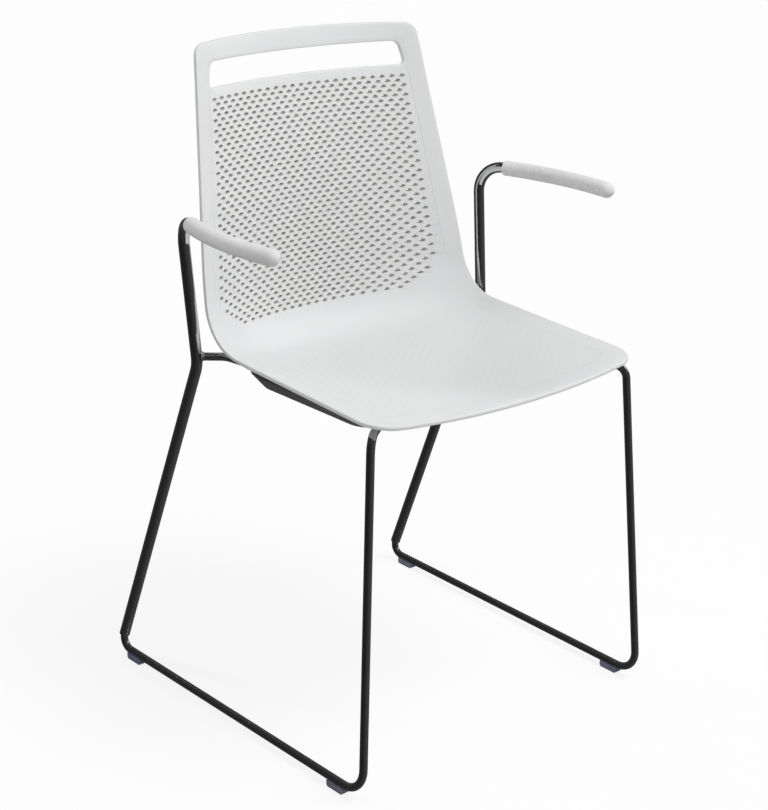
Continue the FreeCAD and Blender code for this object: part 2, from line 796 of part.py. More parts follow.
def glide(place):
    """Block under the runner: grooved for the rod, pegged into it."""
    along = (RUNNER_REAR - RUNNER_FRONT).normalize()
    across = V(along.y, -along.x, 0)
    half, wide = GLIDE_L / 2, GLIDE_W / 2
    c = GLIDE_CHAMFER
    side_view = [(-half, GLIDE_H), (-half, c), (-half + c, 0), (half - c, 0), (half, c), (half, GLIDE_H)]
    base = V(place.x, place.y, 0) - across * wide
    points = [base + along * a + UP * h for a, h in side_view]
    block = Part.Face(Part.makePolygon(points + [points[0]])).extrude(across * GLIDE_W)
    axis = V(place.x, place.y, ROD_Z) - along * GLIDE_L
    groove = Part.makeCylinder(ROD_D / 2 + ROD_FIT, GLIDE_L * 2, axis, along)
    peg = Part.makeCylinder(PEG_D / 2, PEG_H + GLIDE_UNDER_ROD - 1, V(place.x, place.y, 1), UP)
    return block.cut(groove).fuse(peg)


def bead(start, direction, reach):
    """Cone of weld round a rod that ends at start; reach is to its thin end."""
    foot = start + direction * (reach - BEAD_RUN)
    return Part.makeCone(ROD_D / 2 + BEAD_SIZE, ROD_D / 2, BEAD_RUN, foot, direction)


def biggest(shape):
    return max(shape.Solids, key=lambda solid: solid.Volume)


def weld_beads():
    """Rings of weld where a rod's end meets a tube or another rod."""
    tube = sweep_round(arm_tube_edges()[1:3], TUBE_D)
    edges = sled_rod_edges()
    end = rear_end()
    out = (V(REAR_KNEE_X, REAR_KNEE_Y, REAR_KNEE_Z) - end).normalize()
    ring = bead(end, out, TUBE_D / 2 + 2)
    rings = [biggest(ring.cut([tube, sweep_round(edges[-1:], ROD_D)]))]
    run = sweep_round([Part.makeLine(*side_run())], ROD_D)
    for y, z in ((FRONT_BAR_Y, FRONT_BAR_Z), (REAR_BAR_Y, REAR_BAR_Z)):
        start = side_run_point(y)
        inward = (V(BAR_LEVEL_HALF, y, z) - start).normalize()
        bar = Part.makeCylinder(ROD_D / 2, 2 * ROD_D, start, inward)
        ring = bead(start, inward, ROD_D / 2 + 2)
        rings.append(biggest(ring.cut([run, bar])))
    return Part.makeCompound(rings + [mirrored(ring, -1) for ring in rings])


def save(shape, node):
    shape.translate(V(0, CENTRE_SHIFT_Y, 0))
    shape.exportStep("parts/%s.step" % node)
    print(node, shape.isValid(), len(shape.Solids), round(shape.Volume))


def build():
    os.makedirs("parts", exist_ok=True)
    save(seat_shell(), "seat_shell")
    save(under_seat_cover(), "under_seat_cover")
    for side, hand in ((1, "left"), (-1, "right")):
        save(mirrored(sled_rod(), side), "sled_rod_" + hand)
        save(mirrored(arm_tube(), side), "arm_tube_" + hand)
        save(mirrored(arm_sleeve(), side), "arm_sleeve_" + hand)
        save(mirrored(arm_plug(), side), "arm_tube_plug_" + hand)
        save(seat_rail(side), "seat_rail_" + hand)
        for place, end in zip(floor_places(), ("front", "rear")):
            save(mirrored(glide(place), side), "glide_%s_%s" % (end, hand))
    save(crossbar(FRONT_BAR_Y, FRONT_BAR_Z), "front_crossbar")
    save(crossbar(REAR_BAR_Y, REAR_BAR_Z), "rear_crossbar")
    save(Part.makeCompound([seat_screw(x, y) for x, y in screw_places()]), "seat_screws")
    save(Part.makeCompound([seat_washer(x, y) for x, y in screw_places()]), "seat_washers")
    save(Part.makeCompound([cover_screw(x, y) for x, y in cover_screw_places()]), "cover_screws")
    save(weld_beads(), "weld_beads")


build()
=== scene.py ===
import json
import math

import bpy
import bmesh
from mathutils import Matrix, Vector
from mathutils.geometry import delaunay_2d_cdt


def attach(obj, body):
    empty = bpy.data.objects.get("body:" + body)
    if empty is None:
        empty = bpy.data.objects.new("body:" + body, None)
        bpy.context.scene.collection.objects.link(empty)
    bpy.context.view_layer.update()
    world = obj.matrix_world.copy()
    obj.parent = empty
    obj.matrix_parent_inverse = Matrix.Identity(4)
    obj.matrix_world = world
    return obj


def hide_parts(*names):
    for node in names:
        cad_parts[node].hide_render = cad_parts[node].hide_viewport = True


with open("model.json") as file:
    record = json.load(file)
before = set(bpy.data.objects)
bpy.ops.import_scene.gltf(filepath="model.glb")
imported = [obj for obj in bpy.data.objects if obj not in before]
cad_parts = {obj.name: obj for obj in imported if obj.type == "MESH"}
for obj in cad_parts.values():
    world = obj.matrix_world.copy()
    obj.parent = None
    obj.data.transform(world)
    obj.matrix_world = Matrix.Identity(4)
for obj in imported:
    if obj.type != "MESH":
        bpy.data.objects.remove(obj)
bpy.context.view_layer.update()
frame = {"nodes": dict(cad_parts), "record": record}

MM = 0.001

# The shell's own sizes, millimetres, as in the solid model.
SHIFT_Y = 3.66
SHELL_T = 5.5
SHELL_TOP_Z = 828.0
TOP_CUT = 2.6
BACK_TOP_Y = 181.0
BACK_RECLINE = 11.8
BACK_STRAIGHT = 86.0
BACK_ARC_R = 1000.0
LUMBAR_STRAIGHT = 59.0
WAIST_R = 45.0
SEAT_SLOPE = 2.8
SEAT_LENGTH = 337.0
EDGE_TOP_Y = 147.0
EDGE_RECLINE = 12.35
EDGE_BACK = 311.0
EDGE_WAIST_R = 66.0
EDGE_SEAT_SLOPE = 3.0
EDGE_SEAT_LENGTH = 273.0
LIP_R = 120.0
LIP_TURN = 8.0
EDGE_LAG = 106.0
LAG_START = 330.0
LAG_END = 560.0
SEAT_HALF_WIDTH = 213.5
TOP_HALF_WIDTH = 175.0
SIDE_TAPER = 7.1
TAPER_BLEND = 60.0
WRAP_POWER = 2.2
TOP_CORNER_R = 15.0
TOP_BOW = 2.0
FRONT_CORNER_R = 34.0
FRONT_EDGE_Y = -256.0
FRONT_BOW = 19.0
RIM_R = 1.6
RIM_TURNS = ((30, True), (60, True), (90, True), (90, False), (60, False), (30, False))
UPRIGHT_START = 630.0
UPRIGHT_RUN = 60.0

SLOT_FROM_TOP = 26.5
SLOT_HEIGHT = 31.0
SLOT_HALF_TOP = 150.0
SLOT_HALF_BOTTOM = 157.5
SLOT_CORNER_R = 8.0

# Holes stand in staggered rows; the lower rows draw in towards the middle.
HOLE_ROWS = 46
FIRST_ROW = 71.5
ROW_PITCH = 6.32
HALF_PITCH = 6.85
HOLE_LONG = 8.4
HOLE_HIGH = 4.3
HOLE_REAR_LONG = 4.2
HOLE_REAR_HIGH = 1.8
HOLE_SIDES = 14
EVEN_ROW_REACH = 22
ROW_SPREAD = 0.16
SPREAD_ROWS = 38
LAST_FULL_ROW = 39
LAST_ROWS = (20, 21, 20, 19, 18, 17)

# Fine lines in the surface: beside the holes and round the seat's dimples.
LINE_SIDE_INSET = 24.0
LINE_TOP = 61.0
LINE_END = 321.0
LINE_WIDTH = 1.1
LINE_FADE = 3.0
LINE_SHARE = 0.75
DIMPLE_SHARE = 0.3
SEAT_LINE_INSET = 27.0
SEAT_LINE_FRONT = 31.0
SEAT_LINE_R = 15.0
SEAT_LINE_START = 455.0
SEAT_LINE_FULL = 475.0
DIMPLE_START = 400.0
DIMPLE_FULL = 470.0
DIMPLE_BORDER = 6.0
DIMPLE_SPREAD = 1.16
RELIEF_DEPTH = 0.5

# Mesh: spacing of the shell's points, and of the search for nearby holes.
GRID = 9.0
ROW_SHARE = 0.87
HOLE_CELL = 12
WIDE_LOOP = 40

# Arm sleeves: fine rings along the arm's sweep, as in the solid model.
ARM_CORNER = (242.0, 88.0, 637.5)
JUNCTION = (236.0, 69.0, 458.0)
ARM_BEND_R = 33.0
ARM_SPLAY = 18.0
ARM_SWEEP_R = 383.0
ARM_TIP_Y = -131.0
SLEEVE_D = 20.2
SLEEVE_NOSE = 2.0
SLEEVE_START = 4.0
SLEEVE_BORE = 14.6
RING_COUNT = 28
RING_DEPTH = 0.4
RING_STEPS = 6
SLEEVE_SIDES = 40


class Profile:
    """A side-view path of straight runs and arcs, read by its length."""

    def __init__(self, y, z, heading):
        self.y, self.z, self.heading = y, z, math.radians(heading)
        self.runs = []
        self.length = 0.0

    def straight(self, run):
        self.runs.append((self.length, self.y, self.z, self.heading, None))
        self.y += run * math.cos(self.heading)
        self.z += run * math.sin(self.heading)
        self.length += run
        return self

    def arc(self, radius, turn):
        side = math.copysign(1.0, turn)
        self.runs.append((self.length, self.y, self.z, self.heading, side * radius))
        swept = math.radians(abs(turn)) * side
        cy = self.y - side * radius * math.sin(self.heading)
        cz = self.z + side * radius * math.cos(self.heading)
        self.heading += swept
        self.y = cy + side * radius * math.sin(self.heading)
        self.z = cz - side * radius * math.cos(self.heading)
        self.length += radius * abs(swept)
        return self

    def at(self, length):
        run = self.runs[0]
        for candidate in self.runs:
            if candidate[0] <= length:
                run = candidate
        start, y, z, heading, radius = run
        along = length - start
        if radius is None:
            return y + along * math.cos(heading), z + along * math.sin(heading)
        end = heading + along / radius
        cy = y - radius * math.sin(heading)
        cz = z + radius * math.cos(heading)
        return cy + radius * math.sin(end), cz - radius * math.cos(end)


MIDDLE = Profile(BACK_TOP_Y, SHELL_TOP_Z, -90 - BACK_RECLINE)
MIDDLE.straight(BACK_STRAIGHT).arc(BACK_ARC_R, BACK_RECLINE).straight(LUMBAR_STRAIGHT)
MIDDLE.arc(WAIST_R, -90 - SEAT_SLOPE).straight(SEAT_LENGTH).arc(LIP_R, LIP_TURN).straight(10.0)
EDGE = Profile(EDGE_TOP_Y, SHELL_TOP_Z, -90 - EDGE_RECLINE)
EDGE.straight(EDGE_BACK).arc(EDGE_WAIST_R, -(90 - EDGE_RECLINE - EDGE_SEAT_SLOPE))
EDGE.straight(EDGE_SEAT_LENGTH).arc(LIP_R, LIP_TURN).straight(10.0)


def edge_length(length):
    t = min(1.0, max(0.0, (length - LAG_START) / (LAG_END - LAG_START)))
    return length - EDGE_LAG * t * t * (3 - 2 * t)


def half_width(length):
    """Half the shell's width at a row: a taper that dies out at the waist."""
    taper = math.tan(math.radians(SIDE_TAPER))
    run = (SEAT_HALF_WIDTH - TOP_HALF_WIDTH) / taper
    row = edge_length(length)
    if row < run - TAPER_BLEND:
        return TOP_HALF_WIDTH + taper * row
    if row > run + TAPER_BLEND:
        return SEAT_HALF_WIDTH
    left = run + TAPER_BLEND - row
    return SEAT_HALF_WIDTH - taper * left * left / (4 * TAPER_BLEND)


def wall_point(x, length, depth):
    """Point of the shell's wall over a flat place (x, length along it)."""
    my, mz = MIDDLE.at(length)
    ey, ez = EDGE.at(edge_length(length))
    width = half_width(length)
    side = x / width
    wrap = abs(side) ** WRAP_POWER
    rise = math.hypot(ey - my, ez - mz)
    slope = WRAP_POWER * rise * abs(side) ** (WRAP_POWER - 1) / width
    t = min(1.0, max(0.0, (length - UPRIGHT_START) / UPRIGHT_RUN))
    square = depth / rise * math.hypot(1, slope)
    upright = 1 - t * t * (3 - 2 * t)
    y = my + (ey - my) * (wrap - square * upright)
    z = mz + (ez - mz) * (wrap - square)
    return Vector((x, y + SHIFT_Y, z))


def find_length(x, low, high, above):
    """Row length where the sitting face over x stops being above a limit."""
    for _ in range(40):
        mid = (low + high) / 2
        if above(wall_point(x, mid, 0.0)):
            low = mid
        else:
            high = mid
    return low


def top_length(x):
    half = TOP_HALF_WIDTH - TOP_CORNER_R
    limit = SHELL_TOP_Z - TOP_CUT + TOP_BOW * (1 - (x / half) ** 2)
    return find_length(x, -20.0, 60.0, lambda p: p.z > limit)


def front_length(x):
    width = SEAT_HALF_WIDTH + 1.0
    radius = (width * width + FRONT_BOW * FRONT_BOW) / (2 * FRONT_BOW)
    limit = FRONT_EDGE_Y + SHIFT_Y + radius - math.sqrt(radius * radius - x * x)
    end = MIDDLE.length - 10.0
    return find_length(x, end - 120.0, end + 40.0, lambda p: p.y > limit)


def height_length(x, z):
    return find_length(x, -20.0, 250.0, lambda p: p.z > z)


def steps(a, b, size):
    count = max(1, int(abs(b - a) / size + 0.5))
    return [a + (b - a) * i / count for i in range(count)]


def corner_curve(before, corner, after, count):
    """Points of a round corner between two places, the first included."""
    curve = []
    for i in range(count):
        t = i / count
        a = before + (corner - before) * 0.56
        b = after + (corner - after) * 0.56
        u = 1 - t
        curve.append(before * u**3 + a * 3 * u * u * t + b * 3 * u * t * t + after * t**3)
    return curve


def outline(inset=0.0, size=6.0):
    """Closed loop round the shell in flat places, drawn in by an inset."""
    width = TOP_HALF_WIDTH - inset
    r = max(TOP_CORNER_R - inset, 4.0)
    top = lambda x: top_length(x) + inset
    front = lambda x: front_length(x) - inset
    side = lambda length: half_width(length) - inset
    t0 = top(width - r)
    points = [Vector((x, top(x))) for x in steps(-width + r, width - r, size)]
    down = t0 + r
    points += corner_curve(
        Vector((width - r, t0)), Vector((side(t0), t0)), Vector((side(down), down)), 8)
    fr = FRONT_CORNER_R - inset
    wide = SEAT_HALF_WIDTH - inset
    low = front(wide) - fr
    points += [Vector((side(v), v)) for v in steps(down, low, size)]
    f0 = front(wide - fr)
    points += corner_curve(
        Vector((wide, low)), Vector((wide, front(wide))), Vector((wide - fr, f0)), 12)
    points += [Vector((x, front(x))) for x in steps(wide - fr, -wide + fr, size)]
    points += corner_curve(
        Vector((-wide + fr, f0)), Vector((-wide, front(wide))), Vector((-wide, low)), 12)
    points += [Vector((-side(v), v)) for v in steps(low, down, size)]
    points += corner_curve(
        Vector((-side(down), down)), Vector((-side(t0), t0)), Vector((-width + r, t0)), 8)
    return points


def slot_loop(grow=0.0, size=6.0):
    """Closed loop round the hand slot, grown outward by an amount."""
    recline = math.cos(math.radians(BACK_RECLINE))
    top = SHELL_TOP_Z - SLOT_FROM_TOP * recline + grow
    bottom = top - SLOT_HEIGHT * recline - 2 * grow
    wide_top, wide_low = SLOT_HALF_TOP + grow, SLOT_HALF_BOTTOM + grow
    r = SLOT_CORNER_R + grow

    def place(x, z):
        return Vector((x, height_length(x, z)))

    def on_side(share, hand):
        x = wide_top + (wide_low - wide_top) * share
        return place(hand * x, top + (bottom - top) * share)

    bend = r / (top - bottom)
    points = [place(x, top) for x in steps(-wide_top + r, wide_top - r, size)]
    points += corner_curve(place(wide_top - r, top), place(wide_top, top), on_side(bend, 1), 6)
    points += [on_side(s, 1) for s in (bend, 0.5)]
    points += corner_curve(on_side(1 - bend, 1), place(wide_low, bottom), place(wide_low - r, bottom), 6)
    points += [place(x, bottom) for x in steps(wide_low - r, -wide_low + r, size)]
    points += corner_curve(place(-wide_low + r, bottom), place(-wide_low, bottom), on_side(1 - bend, -1), 6)
    points += [on_side(s, -1) for s in (1 - bend, 0.5)]
    points += corner_curve(on_side(bend, -1), place(-wide_top, top), place(-wide_top + r, top), 6)
    return points


def hole_centres():
    centres = []
    for row in range(HOLE_ROWS):
        last = EVEN_ROW_REACH - row % 2
        if row > LAST_FULL_ROW:
            last = LAST_ROWS[row - LAST_FULL_ROW - 1]
        for u in range(-last, last + 1, 2):
            spread = 1 + ROW_SPREAD * (u / EVEN_ROW_REACH) ** 2 * row / SPREAD_ROWS
            centres.append(Vector((HALF_PITCH * u * spread, FIRST_ROW + ROW_PITCH * row)))
    return centres


def oval(centre, long, high):
    loop = []
    for i in range(HOLE_SIDES):
        a = 2 * math.pi * i / HOLE_SIDES
        loop.append(centre + Vector((long / 2 * math.cos(a), high / 2 * math.sin(a))))
    return loop


def inside_loop(loop, p):
    inside = False
    count = len(loop)
    for i in range(count):
        a, b = loop[i], loop[(i + 1) % count]
        if (a.y > p.y) != (b.y > p.y) and p.x < (b.x - a.x) * (p.y - a.y) / (b.y - a.y) + a.x:
            inside = not inside
    return inside


def near_any(p, tree, reach):
    key = (int(p.x // reach), int(p.y // reach))
    for i in (-1, 0, 1):
        for j in (-1, 0, 1):
            for q in tree.get((key[0] + i, key[1] + j), ()):
                if (q - p).length < reach:
                    return True
    return False


def flat_mesh(loops_cut, rim):
    """Triangles of the shell in flat places, with the cut loops left open."""
    points = []
    edges = []
    tree = {}
    reach = GRID * 0.6
    for loop in [rim] + loops_cut:
        base = len(points)
        for i, p in enumerate(loop):
            points.append(p)
            edges.append((base + i, base + (i + 1) % len(loop)))
            tree.setdefault((int(p.x // reach), int(p.y // reach)), []).append(p)
    lows = [p.y for p in rim]
    v = min(lows) + GRID
    row = 0
    while v < max(lows):
        x = -SEAT_HALF_WIDTH + (GRID / 2 if row % 2 else 0)
        while x < SEAT_HALF_WIDTH:
            p = Vector((x, v))
            if not near_any(p, tree, reach) and inside_loop(rim, p):
                points.append(p)
            x += GRID
        v += GRID * ROW_SHARE
        row += 1
    verts, lines, faces, _, sources, _ = delaunay_2d_cdt(points, edges, [], 0, 1e-5)
    fences = {frozenset(line) for line, source in zip(lines, sources) if source}
    return verts, faces, regions(verts, faces, fences)


def regions(verts, faces, fences):
    """Groups of faces that no loop parts, each with its largest face first."""
    sides = {}
    for k, face in enumerate(faces):
        for a, b in zip(face, face[1:] + face[:1]):
            sides.setdefault(frozenset((a, b)), []).append(k)
    near = [[] for _ in faces]
    for line, owners in sides.items():
        if line not in fences and len(owners) == 2:
            near[owners[0]].append(owners[1])
            near[owners[1]].append(owners[0])

    def area(k):
        a, b, c = (verts[i] for i in faces[k][:3])
        return abs((b - a).cross(c - a))

    groups = []
    waiting = set(range(len(faces)))
    while waiting:
        stack = [waiting.pop()]
        group = []
        while stack:
            k = stack.pop()
            group.append(k)
            for n in near[k]:
                if n in waiting:
                    waiting.remove(n)
                    stack.append(n)
        groups.append(sorted(group, key=area, reverse=True))
    return groups


def shell_mesh():
    """The moulded shell: both faces, the open holes and rounded rims."""
    holes = hole_centres()
    cut_loops = [slot_loop(RIM_R)] + [oval(c, HOLE_LONG, HOLE_HIGH) for c in holes]
    rim = outline(RIM_R)
    verts, faces, groups = flat_mesh(cut_loops, rim)
    slot_edge = cut_loops[0]
    hole_tree = {}
    for c in holes:
        hole_tree.setdefault((int(c.x // HOLE_CELL), int(c.y // HOLE_CELL)), []).append(c)

    def hole_at(p, most):
        """Centre of the hole that holds a flat place, or None."""
        key = (int(p.x // HOLE_CELL), int(p.y // HOLE_CELL))
        for i in (-1, 0, 1):
            for j in (-1, 0, 1):
                for c in hole_tree.get((key[0] + i, key[1] + j), ()):
                    d = p - c
                    if (d.x * 2 / HOLE_LONG) ** 2 + (d.y * 2 / HOLE_HIGH) ** 2 < most:
                        return c
        return None

    def rear_place(p):
        """Holes are moulded with a draft, so they are smaller at the rear."""
        c = hole_at(p, 1.05)
        if c is None:
            return p
        long = (p.x - c.x) * HOLE_REAR_LONG / HOLE_LONG
        high = (p.y - c.y) * HOLE_REAR_HIGH / HOLE_HIGH
        return c + Vector((long, high))

    kept = []
    for group in groups:
        face = faces[group[0]]
        centre = sum((verts[i] for i in face), Vector((0, 0))) / len(face)
        if hole_at(centre, 0.91) or inside_loop(slot_edge, centre) or not inside_loop(rim, centre):
            continue
        kept += [faces[k] for k in group]

    mesh = bmesh.new()
    flat = mesh.loops.layers.uv.new("flat")
    top, low = {}, {}
    place = {}

    def add(p, depth):
        vert = mesh.verts.new(wall_point(p.x, p.y, depth) * MM)
        place[vert] = p
        return vert

    for i in {i for face in kept for i in face}:
        p = verts[i]
        top[i] = add(p, 0.0)
        low[i] = add(rear_place(p), SHELL_T)
    for face in kept:
        mesh.faces.new([top[i] for i in reversed(face)])
        mesh.faces.new([low[i] for i in face])
    used = {}
    for face in kept:
        for a, b in zip(face, face[1:] + face[:1]):
            used.setdefault(frozenset((a, b)), []).append((a, b))
    border = [pair[0] for pair in used.values() if len(pair) == 1]
    step_out = {}
    for a, b in border:
        step_out[a] = b
    loops = []
    while step_out:
        start, _ = next(iter(step_out.items()))
        loop = [start]
        here = step_out.pop(start)
        while here != start:
            loop.append(here)
            here = step_out.pop(here)
        loops.append(loop)
    for loop in loops:
        close_border(mesh, place, verts, loop, top, low, add)
    for face in mesh.faces:
        face.smooth = True
        for corner in face.loops:
            p = place[corner.vert]
            corner[flat].uv = (p.x * MM, p.y * MM)
    bmesh.ops.recalc_face_normals(mesh, faces=mesh.faces)
    for edge in mesh.edges:
        if len(edge.link_faces) == 2 and edge.calc_face_angle(0) > math.radians(50):
            edge.smooth = False
    data = bpy.data.meshes.new("shell_moulding")
    mesh.to_mesh(data)
    mesh.free()
    return data


def close_border(mesh, place, verts, loop, top, low, add):
    """Wall between the two faces along one loop, rounded on wide loops.

    The walls of the small holes take the second material, whose darker, green-tinted grey is painted shade."""
    count = len(loop)
    wide = count > WIDE_LOOP
    rows = [[top[i] for i in loop]]
    if wide:
        for lift, deep in RIM_TURNS:
            reach = RIM_R * math.sin(math.radians(lift))
            drop = RIM_R * (1 - math.cos(math.radians(lift)))
            depth = drop if deep else SHELL_T - drop
            ring = []
            for k in range(count):
                a, p, b = verts[loop[k - 1]], verts[loop[k]], verts[loop[(k + 1) % count]]
                along = (b - a).normalized()
                away = Vector((along.y, -along.x))
                ring.append(add(p + away * reach, depth))
            rows.append(ring)
    rows.append([low[i] for i in loop])
    for upper, lower in zip(rows, rows[1:]):
        for k in range(count):
            n = (k + 1) % count
            wall = mesh.faces.new((upper[k], upper[n], lower[n], lower[k]))
            # Index 1 is the hole walls' material, whose darker colour is painted shade.
            wall.material_index = 0 if wide else 1


def arm_sweep():
    """Start, centre and end angle of the arm's sweep in plan, sitter's left."""
    splay = math.radians(ARM_SPLAY)
    corner = Vector(ARM_CORNER)
    forward = Vector((math.sin(splay), -math.cos(splay), 0))
    inside = forward.angle(Vector(JUNCTION) - corner)
    start = corner + forward * (ARM_BEND_R / math.tan(inside / 2))
    centre = start + Vector((-math.cos(splay), -math.sin(splay), 0)) * ARM_SWEEP_R
    end_y = ARM_TIP_Y + SLEEVE_D / 2 + SLEEVE_NOSE
    return centre, -splay, math.asin((centre.y - end_y) / ARM_SWEEP_R)


def sleeve_stations():
    """Places along the sleeve with the radius there: rings, then the dome."""
    _, first, last = arm_sweep()
    length = (last - first) * ARM_SWEEP_R
    radius = SLEEVE_D / 2
    run = length - SLEEVE_START
    stations = [(SLEEVE_START, SLEEVE_BORE / 2), (SLEEVE_START, radius - RING_DEPTH)]
    count = RING_COUNT * RING_STEPS
    for i in range(count + 1):
        swell = math.sin(math.pi * i / RING_STEPS) ** 2
        stations.append((SLEEVE_START + run * i / count, radius - RING_DEPTH * (1 - math.sqrt(swell))))
    for i in range(0, 10):
        turn = math.radians(90 * i / 10)
        stations.append((length + SLEEVE_NOSE + radius * math.sin(turn), radius * math.cos(turn)))
    stations.append((length + SLEEVE_NOSE + radius, 0.15))
    return stations


def sleeve_mesh(hand):
    """Ribbed sleeve swept along the arm, closed by its domed end."""
    centre, first, last = arm_sweep()
    mesh = bmesh.new()
    rows = []
    for along, radius in sleeve_stations():
        angle = min(first + along / ARM_SWEEP_R, last)
        out = Vector((math.cos(angle), -math.sin(angle), 0))
        ahead = Vector((-math.sin(angle), -math.cos(angle), 0))
        middle = centre + out * ARM_SWEEP_R + ahead * (along - (angle - first) * ARM_SWEEP_R)
        row = []
        for k in range(SLEEVE_SIDES):
            turn = 2 * math.pi * k / SLEEVE_SIDES
            p = middle + (out * math.cos(turn) + Vector((0, 0, 1)) * math.sin(turn)) * radius
            row.append(mesh.verts.new(Vector((hand * p.x, p.y + SHIFT_Y, p.z)) * MM))
        rows.append(row)
    for row, after in zip(rows, rows[1:]):
        for k in range(SLEEVE_SIDES):
            n = (k + 1) % SLEEVE_SIDES
            mesh.faces.new((row[k], row[n], after[n], after[k])).smooth = True
    mesh.faces.new(rows[-1]).smooth = True
    bmesh.ops.recalc_face_normals(mesh, faces=mesh.faces)
    data = bpy.data.meshes.new("sleeve_rings")
    mesh.to_mesh(data)
    mesh.free()
    return data


# Materials


def new_material(name):
    material = bpy.data.materials.new(name)
    material.use_nodes = True
    nodes, links = material.node_tree.nodes, material.node_tree.links
    shader = nodes["Principled BSDF"]
    return material, nodes, links, shader


def colour_noise(nodes, links, shader, dark, light, scale, detail=6.0):
    """Slight drift of the base colour, from a noise in object space."""
    space = nodes.new("ShaderNodeTexCoord")
    noise = nodes.new("ShaderNodeTexNoise")
    noise.inputs["Scale"].default_value = scale
    noise.inputs["Detail"].default_value = detail
    ramp = nodes.new("ShaderNodeValToRGB")
    ramp.color_ramp.elements[0].position = 0.3
    ramp.color_ramp.elements[1].position = 0.7
    ramp.color_ramp.elements[0].color = dark + (1,)
    ramp.color_ramp.elements[1].color = light + (1,)
    links.new(space.outputs["Object"], noise.inputs["Vector"])
    links.new(noise.outputs["Fac"], ramp.inputs["Fac"])
    links.new(ramp.outputs["Color"], shader.inputs["Base Color"])
    return space


def roughness_noise(nodes, links, shader, space, low, high, scale):
    noise = nodes.new("ShaderNodeTexNoise")
    noise.inputs["Scale"].default_value = scale
    noise.inputs["Detail"].default_value = 4.0
    span = nodes.new("ShaderNodeMapRange")
    span.inputs["To Min"].default_value = low
    span.inputs["To Max"].default_value = high
    links.new(space.outputs["Object"], noise.inputs["Vector"])
    links.new(noise.outputs["Fac"], span.inputs["Value"])
    links.new(span.outputs["Result"], shader.inputs["Roughness"])


def grain(nodes, links, space, scale, strength, distance=0.0002):
    noise = nodes.new("ShaderNodeTexNoise")
    noise.inputs["Scale"].default_value = scale
    noise.inputs["Detail"].default_value = 3.0
    bump = nodes.new("ShaderNodeBump")
    bump.inputs["Strength"].default_value = strength
    bump.inputs["Distance"].default_value = distance
    links.new(space.outputs["Object"], noise.inputs["Vector"])
    links.new(noise.outputs["Fac"], bump.inputs["Height"])
    return bump


def plastic(name, dark, light, rough, grain_scale=900.0, grain_strength=0.25):
    material, nodes, links, shader = new_material(name)
    space = colour_noise(nodes, links, shader, dark, light, 7.0)
    roughness_noise(nodes, links, shader, space, rough - 0.05, rough + 0.05, 25.0)
    bump = grain(nodes, links, space, grain_scale, grain_strength)
    links.new(bump.outputs["Normal"], shader.inputs["Normal"])
    return material


def metal(name, tint, rough, grain_scale=300.0, grain_strength=0.03):
    material, nodes, links, shader = new_material(name)
    dark = tuple(c * 0.93 for c in tint)
    space = colour_noise(nodes, links, shader, dark, tint, 12.0)
    shader.inputs["Metallic"].default_value = 1.0
    roughness_noise(nodes, links, shader, space, rough * 0.8, rough * 1.3, 18.0)
    bump = grain(nodes, links, space, grain_scale, grain_strength, 0.0001)
    links.new(bump.outputs["Normal"], shader.inputs["Normal"])
    return material


def maths(nodes, links, operation, a, b=None):
    node = nodes.new("ShaderNodeMath")
    node.operation = operation
    for socket, value in zip(node.inputs, (a, b)):
        if value is None:
            continue
        if isinstance(value, (int, float)):
            socket.default_value = value
        else:
            links.new(value, socket)
    return node.outputs[0]


def fade(nodes, links, value, start, end, smooth=True):
    """0 up to start and 1 from end on, with a soft change between."""
    span = nodes.new("ShaderNodeMapRange")
    if smooth:
        span.interpolation_type = "SMOOTHSTEP"
    span.inputs["From Min"].default_value = start
    span.inputs["From Max"].default_value = end
    links.new(value, span.inputs["Value"])
    return span.outputs["Result"]


def flat_place(nodes, links):
    flat = nodes.new("ShaderNodeUVMap")
    flat.uv_map = "flat"
    split = nodes.new("ShaderNodeSeparateXYZ")
    links.new(flat.outputs["UV"], split.inputs["Vector"])
    return split.outputs["X"], split.outputs["Y"]


def field_distance(nodes, links, across, along):
    """Signed distance to the seat's field edge, with round front corners."""
    half = SEAT_HALF_WIDTH * MM
    share = maths(nodes, links, "DIVIDE", across, half)
    bow = maths(nodes, links, "MULTIPLY", maths(nodes, links, "MULTIPLY", share, share), FRONT_BOW * MM)
    ahead = maths(nodes, links, "ADD", along, bow)
    front = (front_length(0.0) - SEAT_LINE_FRONT) * MM
    r = SEAT_LINE_R * MM
    x = maths(nodes, links, "ABSOLUTE", across)
    x = maths(nodes, links, "SUBTRACT", x, half - SEAT_LINE_INSET * MM - r)
    y = maths(nodes, links, "SUBTRACT", ahead, front - r)
    outer_x = maths(nodes, links, "MAXIMUM", x, 0.0)
    outer_y = maths(nodes, links, "MAXIMUM", y, 0.0)
    reach = maths(nodes, links, "ADD", maths(nodes, links, "MULTIPLY", outer_x, outer_x),
                  maths(nodes, links, "MULTIPLY", outer_y, outer_y))
    reach = maths(nodes, links, "SQRT", reach)
    within = maths(nodes, links, "MINIMUM", maths(nodes, links, "MAXIMUM", x, y), 0.0)
    return maths(nodes, links, "SUBTRACT", maths(nodes, links, "ADD", reach, within), r)


def groove(nodes, links, distance, width):
    """1 on a line and 0 beside it, from a signed distance."""
    far = maths(nodes, links, "ABSOLUTE", distance)
    return maths(nodes, links, "SUBTRACT", 1.0, fade(nodes, links, far, 0.0, width))


